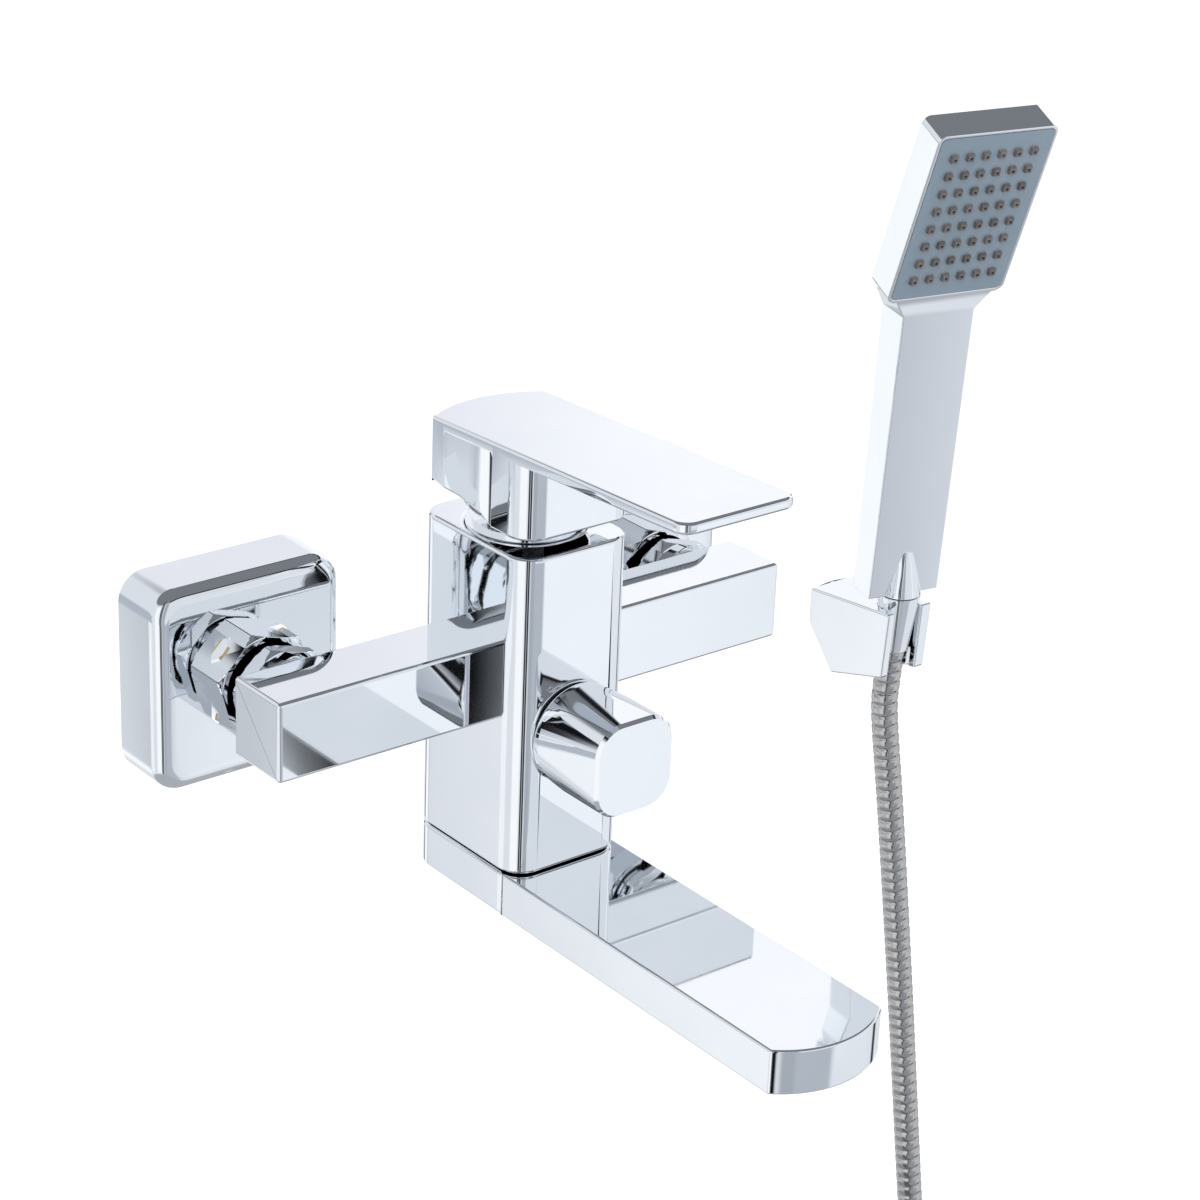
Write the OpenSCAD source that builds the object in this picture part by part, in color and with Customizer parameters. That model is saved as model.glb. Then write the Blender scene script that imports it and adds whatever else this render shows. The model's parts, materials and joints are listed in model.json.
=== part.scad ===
// Wall mounted bath and shower mixer with lever, diverter, swivel spout,
// hand shower, hose and wall bracket.
// X runs along the wall, Y goes into the wall (wall face at y = 0), Z is up.
// The origin is midway between the two inlets, on the wall face.

/* [Inlets] */
// Distance between the hot and the cold inlet
inlet_pitch = 150; // [140:1:160]
// Radius of the wall threads (half inch pipe)
pipe_r = 10.48; // [9:0.01:12]
// How far the wall threads reach into the wall
pipe_len = 18; // [12:1:24]
// Radius of the union's nut thread (three quarter inch pipe)
union_r = 13.2; // [12.6:0.01:13.6]
// Hexagon nut across its flats
nut_flats = 30; // [29.6:0.1:33]
// Length of the hexagon nut
nut_len = 11; // [10:0.5:13]
// Hexagon shoulder of the tail across its flats
tail_flats = 28; // [26:0.5:30]

/* [Wall covers] */
// Side of the square wall cover
cover_side = 65; // [56:1:76]
// Depth of the wall cover
cover_depth = 21.5; // [19:0.5:23]
// Corner radius of the wall cover
cover_r = 9; // [5:0.5:14]
// Radius of the wall cover's front edges
cover_edge = 5; // [3:0.5:7]
// Sheet thickness of the wall cover
cover_wall = 1.6; // [1.2:0.1:2.5]

/* [Arms] */
// Half of the length over both arms
arm_half = 94.5; // [90:0.5:110]
// Height of an arm
arm_h = 25.4; // [25:0.1:32]
// Depth of an arm, front to back
arm_d = 23.8; // [20:0.1:28]
// Distance of the arms' front face from the wall
arm_front = 66.4; // [64:0.1:72]
// Edge radius of the arms
arm_r = 1.2; // [0.5:0.1:3]

/* [Column] */
// Width of the column
col_w = 42; // [41:0.5:54]
// Distance of the column's front face from the wall
col_front = 83; // [78:0.5:95]
// Depth of the column, front to back
col_d = 53; // [50:0.5:62]
// Height of the column's top above the inlets
col_top = 45; // [44:0.5:56]
// Depth of the column's bottom below the inlets
col_bottom = 58.8; // [56:0.2:70]
// Radius of the column's vertical edges
col_r = 8.5; // [6:0.5:10]

/* [Lever] */
// Length of the blade from the column's axis
blade_reach = 97; // [80:1:130]
// Thickness of the blade
blade_t = 3.6; // [2.8:0.1:5]
// Upward slope of the blade
blade_slope = 2.3; // [0:0.1:6]
// Height of the blade's top above the column's top, at the column's axis
blade_rise = 32.2; // [30:0.1:36]
// Gap between the column's top and the lever's block
lever_gap = 5.5; // [5:0.1:8]
// Corner radius of the blade
blade_r = 5; // [2:0.5:9]
// How much the lever's rear edge bows out
lever_bow = 7; // [3:0.5:9]
// Depth of the hollow in each side of the lever's block
scoop_in = 2; // [1:0.1:2.2]
// Radius of that hollow
scoop_r = 38; // [30:1:60]
// Middle of that hollow behind the column's axis
scoop_y = 2; // [0:0.5:4]

/* [Cartridge] */
// Radius of the cartridge housing
cart_r = 17; // [16:0.1:17.2]
// Height of the cartridge housing's shoulder
cart_h = 26; // [25:0.5:27]
// Half size of the square stem
stem_half = 4; // [3.5:0.1:4.2]
// Height of the stem's pivot above the inlets
pivot_z = 32; // [31:0.5:33]

/* [Diverter] */
// Height of the diverter's axis below the inlets
div_drop = 14.3; // [14:0.1:18]
// Radius of the diverter's housing
div_r = 10.95; // [9.5:0.05:11.2]
// Radius of the knob at its base
knob_r = 16.4; // [13:0.1:18]
// Side of the knob's squared front
knob_side = 29; // [24:0.5:32]
// Length of the knob
knob_len = 28.7; // [22:0.1:36]

/* [Spout] */
// Reach of the spout's tip from the wall
spout_reach = 209; // [180:1:260]
// Height of the spout
spout_h = 14.3; // [13:0.1:18]
// Gap between the column and the spout
spout_gap = 0.5; // [0.3:0.1:1]
// Bow of the spout's tip
tip_bow = 8; // [4:0.5:14]
// Radius of the spout's spigot
spigot_r = 11; // [9:0.1:12]
// Radius of the aerator's collar
aer_r = 14; // [11:0.1:15]
// How far the aerator stands out below the spout
aer_drop = 2.4; // [1:0.1:5]
// Distance of the aerator's axis behind the spout's tip
aer_back = 18; // [16:0.5:30]

/* [Hose outlet] */
// Sideways place of the hose outlet
outlet_x = 9; // [8:0.5:14]
// Distance of the hose outlet's axis from the wall
outlet_y = 14.5; // [14.5:0.5:16]
// Length of the hose outlet's thread
outlet_len = 12; // [9:0.5:14]

/* [Bracket] */
// Sideways place of the bracket's centre
brk_x = 181.5; // [170:0.5:260]
// Width of the bracket
brk_w = 20.4; // [19.8:0.1:26]
// Width of the slot for the hose
brk_slot = 12; // [10.4:0.1:13]
// Height of the bracket's rear top edge
brk_top = -38; // [-42:0.5:-36]

/* [Hand shower] */
// Length of the handle
handle_len = 104.6; // [90:0.1:150]
// Width of the handle
handle_w = 27.7; // [24:0.1:34]
// Thickness of the handle at its lower end
handle_t0 = 10.7; // [10.4:0.1:15]
// Thickness of the handle at the neck
handle_t1 = 13.6; // [11:0.1:18]
// Width of the head
head_w = 45; // [40:0.5:70]
// Length of the head
head_l = 67; // [58:0.5:90]
// Thickness of the head
head_t = 11.8; // [10:0.1:16]
// Forward tilt of the head against the handle
head_tilt = 16.9; // [0:0.1:35]
// Nozzles across the face
nozzle_cols = 6; // [3:1:6]
// Nozzles along the face
nozzle_rows = 8; // [3:1:8]

/* [Hose] */
// Outer diameter of the hose
hose_d = 9.6; // [8:0.1:10]
// Radius of the hose's coil, to the middle of the hose
coil_r = 60; // [55:1:80]
// Step from one turn of the coil to the next
coil_pitch = 9.9; // [9.8:0.1:14]
// Turns of the coil
coil_turns = 3; // [1:1:4]
// Straight end of the hose after the coil
coil_tail = 44; // [44:1:60]
// Nut at the hose's free end across its flats
end_flats = 24; // [23.5:0.1:26]

/* [Hidden] */
$fn = 64;
run_gap = 0.05;      // radial clearance of turning and sliding fits
rest_gap = 0.1;      // clearance of pieces that only sit in each other
hex_k = 2 / sqrt(3); // corner to corner over flat to flat

// --- places that several pieces share
col_y = -(col_front - col_d / 2);
arm_y = -(arm_front - arm_d / 2);
arm_back = arm_front - arm_d;
nut_y0 = cover_depth - 2.5;
nut_y1 = nut_y0 + nut_len;
nut_lip = 2;
tail_flange = 1.6;
washer_t = 1.5;
tail_hex_len = 5.5;
tail_collar = 2.7;
nut_corner = nut_flats / 2 * hex_k;
cart_z0 = col_top - 35;
cart_z1 = cart_z0 + cart_h;
cart_thread_r = cart_r + 1.4;
neck_in = 10.6;
seal_t = 2.5;
disc_t = 3.5;
disc_r = 13;
move_r = 9.5;
carrier_h = 5;
fixed_z = cart_z0 + seal_t;
move_z = fixed_z + disc_t;
carrier_z = move_z + disc_t;
ball_arm = 9;
ball_r = 3.2;
turret_z = carrier_z + carrier_h + run_gap;
pin_r = 2;
arm_bore = 6;
arm_bore_end = 10;
lever_z0 = col_top + lever_gap;
blade_z = col_top + blade_rise;
recess_r = col_w / 2 - 2.4;
recess_h = 8.5;
stem_top = blade_z - 5.5;
grub_r = 2.5;
grub_z = lever_z0 + recess_h + 6;
div_z = -div_drop;
div_y0 = col_front - 38;
div_y1 = col_front - 7;
div_bore = div_r + run_gap;
rotor_r = div_r - 3;
stem_r = 4;
knob_y0 = col_front + 0.8;
knob_y1 = knob_y0 + knob_len;
spout_z1 = -(col_bottom + spout_gap);
spout_z0 = spout_z1 - spout_h;
spigot_h = 17;
spigot_in = 6.5;
groove_z = spout_z1 + 10.5;
groove_half = 1.7;
retain_r = 1.5;
seal_z = [4, 14.5];
channel_w = 26;
channel_h = spout_h - 5;
hub_front = col_front - 6;
aer_y = -(spout_reach - aer_back);
aer_bore = aer_r - 0.3;
aer_z1 = spout_z0 + 7.6;
outlet_z1 = div_z + 6;
outlet_z0 = div_z - 12;
outlet_boss = 12.4;
hose_r = hose_d / 2;

// --- hand shower: its own frame starts at the handle's lower front edge
hs_at = [brk_x, -35.7, -29.9];
hs_yaw = -11.7;
hs_lean = 4.4;
hs_axis_y = 2.5;
cone_top = 7.6;
cone_bot = 5.5;
cone_len = 22;
tail_r = 5;
tail_up = 6;
plate_t = 1.6;
rim = 1.3;
nozzle = 2.6;
nozzle_out = 1.4;
nozzle_px = 6;
nozzle_pz = 7;

// --- hose: hand picked points of the hanging run, then the coil
run_points = [
    [182.9, -29.7, -66], [183.6, -29.4, -80], [190.5, -29.5, -121],
    [203.2, -29.5, -200], [215.6, -29.5, -281], [223.5, -29.5, -331]
];
run_slope = atan((run_points[5][0] - run_points[4][0])
    / (run_points[4][2] - run_points[5][2]));
coil_at = [run_points[5][0] + 5.5 - coil_r * cos(run_slope), -29.5,
    run_points[5][2] - 35 - coil_r * sin(run_slope)];

// ------------------------------------------------------------ helpers
// Rounded rectangle, centred
module rounded(w, d, r) {
    union() {
        square([w - 2 * r, d], center = true);
        square([w, d - 2 * r], center = true);
        for (x = [-1, 1], y = [-1, 1])
            translate([x * (w / 2 - r), y * (d / 2 - r)]) circle(r);
    }
}

// Shaft along Y from distance y0 to distance y1 in front of the wall
module shaft(r, y0, y1) {
    translate([0, -y0, 0]) rotate([90, 0, 0]) cylinder(r = r, h = y1 - y0);
}

// Tapered shaft along Y
module cone_y(r0, r1, y0, y1) {
    translate([0, -y0, 0]) rotate([90, 0, 0])
        cylinder(r1 = r0, r2 = r1, h = y1 - y0);
}

// Hexagon along Y, corner pointing 15 degrees off the top
module hex_y(flats, y0, y1) {
    translate([0, -y0, 0]) rotate([90, 15, 0])
        cylinder(r = flats / 2 * hex_k, h = y1 - y0, $fn = 6);
}

// Hexagon with turned corners along Y
module hex_turned(flats, y0, y1) {
    flat = flats / 2 * 1.03;
    mid = (y0 + y1) / 2;
    grow = (y1 - y0) / 2 * 1.6;
    union() {
        intersection() {
            hex_y(flats, y0, mid);
            cone_y(flat, flat + grow, y0, mid + 1);
        }
        intersection() {
            hex_y(flats, mid, y1);
            cone_y(flat + grow, flat, mid - 1, y1);
        }
    }
}

// Rod along Z
module rod(r, z0, z1) {
    translate([0, 0, z0]) cylinder(r = r, h = z1 - z0);
}

// At the column's upright axis
module at_column() {
    translate([0, col_y, 0]) children();
}

// At the diverter's axis
module at_diverter() {
    translate([0, 0, div_z]) children();
}

// In the hand shower's frame
module at_handset() {
    translate(hs_at) rotate([0, 0, hs_yaw]) rotate([hs_lean, 0, 0]) children();
}

// At the axis of the hand shower's cone
module at_cone() {
    at_handset() translate([0, hs_axis_y, 0]) children();
}

function unit(v) = v / norm(v);
function lerp3(a, b, t) = a + (b - a) * t;
// Smooth curve through the points p, at i + t
function spline(p, i, t) =
    let (n = len(p) - 1, a = p[max(i - 1, 0)], b = p[i],
        c = p[min(i + 1, n)], d = p[min(i + 2, n)])
    0.5 * (2 * b + (c - a) * t + (2 * a - 5 * b + 4 * c - d) * t * t
        + (3 * b - a - 3 * c + d) * t * t * t);

// Closed round tube along the points of path
module tube(path, r, sides = 16) {
    n = len(path);
    dirs = [for (i = [0:n - 1])
        unit(path[min(i + 1, n - 1)] - path[max(i - 1, 0)])];
    points = [for (i = [0:n - 1])
        let (u = unit(cross(dirs[i], [0, 1, 0])), v = cross(dirs[i], u))
        for (k = [0:sides - 1])
            path[i] + r * (cos(360 * k / sides) * u + sin(360 * k / sides) * v)];
    walls = [for (i = [0:n - 2], k = [0:sides - 1])
        let (a = i * sides + k, b = i * sides + (k + 1) % sides)
        each [[a, a + sides, b], [b, a + sides, b + sides]]];
    caps = [
        [for (k = [0:sides - 1]) k],
        [for (k = [sides - 1:-1:0]) (n - 1) * sides + k]
    ];
    polyhedron(points, concat(walls, caps));
}

// ------------------------------------------------------------ body
module column_plan() {
    rounded(col_w, col_d, col_r);
}

module arms_solid() {
    translate([-arm_half, arm_y, 0]) rotate([90, 0, 90])
        linear_extrude(2 * arm_half) rounded(arm_d, arm_h, arm_r);
}

module outlet_boss_solid() {
    translate([outlet_x, -outlet_y, 0]) rod(outlet_boss, outlet_z0, outlet_z1);
    translate([outlet_x - outlet_boss, -(col_front - col_d) - 4, outlet_z0])
        cube([2 * outlet_boss, col_front - col_d + 4 - outlet_y,
            outlet_z1 - outlet_z0]);
}

module mixer_body() {
    color([0.86, 0.88, 0.9]) difference() {
        union() {
            at_column() translate([0, 0, -col_bottom])
                linear_extrude(col_bottom + col_top) column_plan();
            arms_solid();
            outlet_boss_solid();
        }
        // cartridge chamber and its nut's thread
        at_column() rod(cart_r + run_gap, cart_z0, col_top);
        at_column() rod(cart_thread_r + run_gap, cart_z1, col_top + 1);
        // inlet sockets, arm passages and risers
        for (s = [-1, 1]) {
            translate([s * inlet_pitch / 2, 0, 0])
                shaft(pipe_r, arm_back - 1, arm_back + 13);
            translate([s * arm_bore_end, arm_y, 0]) rotate([0, s * 90, 0])
                cylinder(r = arm_bore, h = inlet_pitch / 2 - arm_bore_end + 4);
            translate([s * 8, col_y, 0]) rod(3.5, 0, cart_z0 + 1);
        }
        // mixed water down to the diverter
        translate([0, col_y + 8.5, 0]) rod(3.5, div_z, cart_z0 + 1);
        // diverter chamber
        at_diverter() shaft(div_bore, div_y0, div_y1 + 0.1);
        at_diverter() shaft(div_r + 1, div_y1, col_front + 1);
        // down to the spout
        at_column() rod(spigot_in, -col_bottom, div_z);
        at_column() rod(spigot_r + run_gap, -col_bottom - 1,
            spout_z1 + spigot_h + 0.6);
        // spout retaining screw
        translate([0, 0, groove_z]) shaft(retain_r, col_front - col_d - 1, -col_y);
        // across to the hose outlet and down
        translate([outlet_x - 2, 0, div_z - 3.5]) shaft(4, outlet_y, div_y0 + 2);
        translate([outlet_x, -outlet_y, 0]) rod(5.5, outlet_z0 - 1, div_z);
    }
}

// ------------------------------------------------------------ inlets
// Square block against the wall with a softly rounded front
module cover_block(shrink, depth) {
    side = cover_side - 2 * shrink;
    intersection() {
        rotate([90, 0, 0]) linear_extrude(depth)
            rounded(side, side, cover_r - shrink);
        rotate([90, 0, 90]) linear_extrude(side, center = true)
            rounded(2 * depth, side, cover_edge - shrink);
        linear_extrude(side, center = true)
            rounded(side, 2 * depth, cover_edge - shrink);
    }
}

// Hollow cover with a round opening for the nut
module wall_cover() {
    difference() {
        cover_block(0, cover_depth);
        cover_block(cover_wall, cover_depth - cover_wall);
        rotate([90, 0, 0]) linear_extrude(1, center = true)
            rounded(cover_side - 2 * cover_wall, cover_side - 2 * cover_wall,
                cover_r - cover_wall);
        shaft(nut_corner + 0.25, -2, cover_depth + 1);
    }
}

module at_inlet(side) {
    translate([side * inlet_pitch / 2, 0, 0]) children();
}

// Eccentric union: wall thread, flats and nut thread
module union_piece() {
    difference() {
        union() {
            shaft(pipe_r, -pipe_len, 2);
            hex_y(24, 0, 6);
            shaft(union_r, 6, nut_y1 - nut_lip - tail_flange - washer_t);
        }
        shaft(7.5, -pipe_len - 1, nut_y1);
    }
}

module swivel_nut() {
    difference() {
        hex_turned(nut_flats, nut_y0, nut_y1);
        shaft(union_r + run_gap, nut_y0 - 1, nut_y1 - nut_lip);
        cone_y(union_r - 0.8, union_r + 0.4, nut_y1 - nut_lip, nut_y1 + 0.01);
    }
}

module inlet_tail() {
    y1 = nut_y1 - nut_lip;
    hex0 = arm_back - tail_collar - tail_hex_len;
    difference() {
        union() {
            shaft(union_r - rest_gap, y1 - tail_flange, y1);
            shaft(union_r - 1, y1 - tail_flange, hex0 + 1);
            hex_turned(tail_flats, hex0, arm_back - tail_collar);
            shaft(tail_flats / 2 - 1, hex0 + 1, arm_back);
            shaft(pipe_r, arm_back - 1, arm_back + 11.5);
        }
        shaft(7.5, 0, arm_back + 20);
    }
}

module cover_left() { color([0.86, 0.88, 0.9]) at_inlet(-1) wall_cover(); }
module cover_right() { color([0.86, 0.88, 0.9]) at_inlet(1) wall_cover(); }
module union_left() { color([0.78, 0.62, 0.3]) at_inlet(-1) union_piece(); }
module union_right() { color([0.78, 0.62, 0.3]) at_inlet(1) union_piece(); }
module swivel_nut_left() { color([0.8, 0.82, 0.85]) at_inlet(-1) swivel_nut(); }
module swivel_nut_right() { color([0.8, 0.82, 0.85]) at_inlet(1) swivel_nut(); }
module inlet_tail_left() { color([0.8, 0.8, 0.78]) at_inlet(-1) inlet_tail(); }
module inlet_tail_right() { color([0.8, 0.8, 0.78]) at_inlet(1) inlet_tail(); }

module union_washers() {
    y1 = nut_y1 - nut_lip - tail_flange;
    color([0.1, 0.1, 0.1]) for (s = [-1, 1]) at_inlet(s) difference() {
        shaft(union_r - 0.6, y1 - washer_t, y1);
        shaft(8.5, y1 - washer_t - 1, y1 + 1);
    }
}

// ------------------------------------------------------------ cartridge
module ports(z0, z1) {
    for (s = [-1, 1]) translate([s * 8, 0, 0]) rod(2.6, z0, z1);
    translate([0, 8.5, 0]) rod(2.6, z0, z1);
}

module cartridge_seal() {
    color([0.12, 0.12, 0.12]) at_column() difference() {
        rod(cart_r - 1, cart_z0, cart_z0 + seal_t);
        ports(cart_z0 - 1, cart_z0 + seal_t + 1);
    }
}

module cartridge_housing() {
    color([0.92, 0.92, 0.9]) at_column() difference() {
        union() {
            rod(cart_r, cart_z0, cart_z1);
            rod(neck_in + 1.2, cart_z0 + 1, col_top - 1.2);
        }
        rod(cart_r - 1, cart_z0 - 1, cart_z0 + seal_t);
        rod(disc_r + rest_gap, cart_z0, turret_z);
        rod(disc_r + run_gap, turret_z - 1, cart_z1 - 1.6);
        rod(neck_in + run_gap, cart_z1 - 2, col_top + 1);
    }
}

module fixed_disc() {
    color([0.95, 0.95, 0.93]) at_column() difference() {
        rod(disc_r, fixed_z, fixed_z + disc_t);
        ports(fixed_z - 1, fixed_z + disc_t + 1);
    }
}

module moving_disc() {
    color([0.9, 0.9, 0.92]) at_column() difference() {
        rod(move_r, move_z, move_z + disc_t);
        translate([0, 0, move_z - 1]) linear_extrude(2.5) rounded(8, 12, 3);
    }
}

module disc_carrier() {
    color([0.2, 0.35, 0.6]) at_column() difference() {
        rod(move_r, carrier_z, carrier_z + carrier_h);
        translate([0, 0, pivot_z - ball_arm]) rod(ball_r + 0.1, -3.9, 9);
    }
}

// Turning part that carries the pivot; slotted for the square stem
module turret() {
    color([0.85, 0.85, 0.8]) at_column() difference() {
        union() {
            rod(disc_r, turret_z, cart_z1 - 1.6 - run_gap);
            rod(neck_in, turret_z, col_top - 1.8);
        }
        translate([-stem_half - run_gap, -9.6, turret_z - 1])
            cube([2 * (stem_half + run_gap), 19.2, 40]);
        translate([-12, 0, pivot_z]) rotate([0, 90, 0])
            cylinder(r = pin_r, h = 24);
    }
}

module stem_pin() {
    color([0.6, 0.6, 0.62]) at_column() translate([-10, 0, pivot_z])
        rotate([0, 90, 0]) cylinder(r = pin_r, h = 20);
}

module lever_stem() {
    color([0.6, 0.6, 0.62]) at_column() difference() {
        union() {
            translate([-stem_half, -stem_half, pivot_z - 4])
                cube([2 * stem_half, 2 * stem_half, stem_top - pivot_z + 4]);
            rod(2.2, pivot_z - ball_arm, pivot_z);
            translate([0, 0, pivot_z - ball_arm]) sphere(ball_r);
        }
        translate([-12, 0, pivot_z]) rotate([0, 90, 0])
            cylinder(r = pin_r + run_gap, h = 24);
    }
}

module cartridge_nut() {
    color([0.86, 0.88, 0.9]) at_column() difference() {
        union() {
            rod(cart_thread_r, cart_z1, col_top + 0.6);
            rod(cart_thread_r - 2, cart_z1, col_top + 1.8);
        }
        rod(neck_in + 1.2 + rest_gap, cart_z1 - 1, col_top + 3);
    }
}

// ------------------------------------------------------------ lever
// Plan of the lever's block: the column's plan with a bowed rear edge
module lever_plan() {
    bow_r = (pow(col_w / 2, 2) + lever_bow * lever_bow) / (2 * lever_bow);
    intersection() {
        union() {
            rounded(col_w, col_d, col_r);
            translate([-col_w / 2, 0]) square([col_w, col_d / 2]);
        }
        translate([0, col_d / 2 - bow_r]) circle(bow_r, $fn = 128);
    }
}

module blade_plan() {
    front = blade_reach;
    bow_r = (pow(col_w / 2, 2) + lever_bow * lever_bow) / (2 * lever_bow);
    intersection() {
        translate([0, (col_d / 2 - front) / 2]) union() {
            rounded(col_w, col_d / 2 + front, blade_r);
            translate([-col_w / 2, 0])
                square([col_w, (col_d / 2 + front) / 2]);
        }
        union() {
            translate([0, col_d / 2 - bow_r]) circle(bow_r, $fn = 128);
            translate([-col_w, -front - 1]) square([2 * col_w, front]);
        }
    }
}

module slope() {
    translate([0, 0, blade_z]) rotate([-blade_slope, 0, 0]) children();
}

module lever() {
    chamfer_y = -9;
    chamfer_h = 7;
    back = col_d / 2;
    color([0.88, 0.9, 0.93]) at_column() difference() {
        union() {
            intersection() {
                translate([0, 0, lever_z0])
                    linear_extrude(blade_rise) difference() {
                        lever_plan();
                        for (s = [-1, 1]) translate([s * (col_w / 2
                            + scoop_r - scoop_in), scoop_y])
                            circle(scoop_r, $fn = 128);
                    }
                slope() translate([-col_w, -2 * col_d, -2 * blade_rise])
                    cube([2 * col_w, 4 * col_d, 2 * blade_rise]);
            }
            slope() translate([0, 0, -blade_t]) linear_extrude(blade_t)
                blade_plan();
        }
        // rear lower edge cut back, so the lever can tip up
        translate([-col_w, 0, 0]) rotate([90, 0, 90])
            linear_extrude(2 * col_w) polygon([
                [chamfer_y, lever_z0 - 1], [chamfer_y, lever_z0],
                [back + 0.5, lever_z0 + chamfer_h], [back + 2, lever_z0 - 1]]);
        // hollow over the cartridge, and the stem's square socket
        rod(recess_r, lever_z0 - 1, lever_z0 + recess_h);
        translate([-stem_half, -stem_half, lever_z0])
            cube([2 * stem_half, 2 * stem_half, stem_top - lever_z0]);
        // grub screw hole from the rear, with its plug's seat
        translate([0, col_d, grub_z]) rotate([90, 0, 0])
            cylinder(r = grub_r, h = col_d - stem_half + 0.01);
        translate([0, col_d, grub_z]) rotate([90, 0, 0])
            cylinder(r = 3.4, h = col_d - back + 2.5);
    }
}

module lever_screw() {
    color([0.5, 0.5, 0.52]) at_column() difference() {
        translate([0, stem_half + 8, grub_z]) rotate([90, 0, 0])
            cylinder(r = grub_r, h = 8);
        translate([0, stem_half + 9, grub_z]) rotate([90, 0, 0])
            cylinder(r = 1.4, h = 4, $fn = 6);
    }
}

module lever_plug() {
    color([0.75, 0.1, 0.1]) at_column() translate([0, col_d / 2 - 0.4, grub_z])
        rotate([90, 0, 0]) cylinder(r = 3.4, h = 2.1);
}

// ------------------------------------------------------------ diverter
module diverter_housing() {
    color([0.8, 0.66, 0.35]) at_diverter() difference() {
        shaft(div_r, div_y0, div_y1);
        shaft(rotor_r + run_gap, div_y0 - 1, div_y1 + 1);
        translate([0, col_y + 8.5, 0]) rod(3.2, 0, 20);
        translate([0, col_y, 0]) rod(4.5, -20, 0);
    }
}

module diverter_rotor() {
    color([0.9, 0.9, 0.88]) at_diverter() difference() {
        union() {
            shaft(rotor_r, div_y0 + 1, div_y1 - run_gap);
            shaft(stem_r, div_y1 - 1, knob_y0 + 14);
        }
        translate([0, col_y + 8.5, 0]) rod(3.2, 0, 20);
        translate([0, col_y, 0]) rod(4, -20, 0);
        shaft(3.2, div_y0, -col_y + 4);
    }
}

module diverter_collar() {
    color([0.15, 0.15, 0.16]) at_diverter() difference() {
        union() {
            shaft(div_r + 1, div_y1, col_front);
            shaft(knob_r - 1.5, col_front, col_front + 0.5);
        }
        shaft(stem_r + run_gap, div_y1 - 1, col_front + 2);
    }
}

module diverter_knob() {
    flare = 10;
    color([0.88, 0.9, 0.92]) at_diverter() difference() {
        union() {
            translate([0, -knob_y0, 0]) rotate([90, 0, 0])
                cylinder(r = knob_r, h = 2.5);
            hull($fn = 48) {
                shaft(knob_r, knob_y0 + 2.4, knob_y0 + 2.5);
                translate([0, -knob_y0 - flare, 0]) rotate([90, 0, 0])
                    linear_extrude(knob_len - flare - 1.2)
                        rounded(knob_side, knob_side + 1.2, 9.5);
                translate([0, -knob_y1 + 0.1, 0]) rotate([90, 0, 0])
                    linear_extrude(0.1)
                        rounded(knob_side - 1.8, knob_side - 0.6, 8.6);
            }
        }
        shaft(stem_r, knob_y0 - 1, knob_y0 + 14.2);
        translate([0, -knob_y0 - 8, 0]) rod(2, -knob_side, -stem_r + 0.5);
    }
}

module knob_screw() {
    color([0.5, 0.5, 0.52]) at_diverter() translate([0, -knob_y0 - 8, 0])
        difference() {
            rod(2, -stem_r - 6.5, -stem_r);
            translate([0, 0, -stem_r - 7.5]) cylinder(r = 1.1, h = 3.5, $fn = 6);
        }
}

// ------------------------------------------------------------ spout
module tip_plan() {
    half = col_w / 2;
    tip_r = (half * half + tip_bow * tip_bow) / (2 * tip_bow);
    intersection() {
        translate([-half, -spout_reach]) square([col_w, spout_reach + col_y]);
        translate([0, -spout_reach + tip_r]) circle(tip_r, $fn = 128);
    }
    translate([-half, -spout_reach + tip_bow])
        square([col_w, spout_reach - tip_bow - hub_front]);
}

module spout_hub() {
    color([0.84, 0.86, 0.88]) difference() {
        union() {
            intersection() {
                at_column() translate([0, 0, spout_z0])
                    linear_extrude(spout_h) column_plan();
                translate([-col_w, -hub_front, spout_z0 - 1])
                    cube([2 * col_w, hub_front, spout_h + 2]);
            }
            at_column() rod(spigot_r, spout_z1 - 2, spout_z1 + spigot_h);
        }
        at_column() rod(spigot_in, spout_z0 + 2.5, spout_z1 + spigot_h + 1);
        translate([-channel_w / 2, -hub_front - 1, spout_z0 + 2.5])
            cube([channel_w, hub_front + col_y + 1, channel_h]);
        // grooves for the two seal rings and the retaining screw
        for (z = seal_z) at_column() difference() {
            rod(spigot_r + 1, spout_z1 + z - 1.3, spout_z1 + z + 1.3);
            rod(spigot_r - 2.4, spout_z1 + z - 2, spout_z1 + z + 2);
        }
        at_column() difference() {
            rod(spigot_r + 1, groove_z - groove_half, groove_z + groove_half);
            rod(spigot_r - 2.2, groove_z - 3, groove_z + 3);
        }
    }
}

module spout_arm() {
    color([0.88, 0.9, 0.92]) difference() {
        translate([0, 0, spout_z0]) linear_extrude(spout_h)
            intersection() {
                tip_plan();
                translate([-col_w, -spout_reach - 1])
                    square([2 * col_w, spout_reach + 1 - hub_front]);
            }
        translate([-channel_w / 2, aer_y, spout_z0 + 2.5])
            cube([channel_w, -aer_y - hub_front + 1, channel_h]);
        translate([0, aer_y, 0]) rod(aer_bore, spout_z0 - 1, aer_z1);
        translate([0, aer_y, 0]) rod(aer_bore - 2, spout_z0, aer_z1 + 3);
    }
}

module spout_rings() {
    color([0.08, 0.08, 0.08]) at_column() for (z = seal_z)
        translate([0, 0, spout_z1 + z]) rotate_extrude()
            translate([spigot_r - 1.2, 0]) circle(1.2, $fn = 24);
}

module spout_screw() {
    color([0.5, 0.5, 0.52]) translate([0, 0, groove_z]) difference() {
        shaft(retain_r, col_front - col_d + 1, -col_y - spigot_r + 2);
        shaft(0.9, col_front - col_d, col_front - col_d + 3.5, $fn = 6);
    }
}

module at_aerator() {
    translate([0, aer_y, 0]) children();
}

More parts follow.
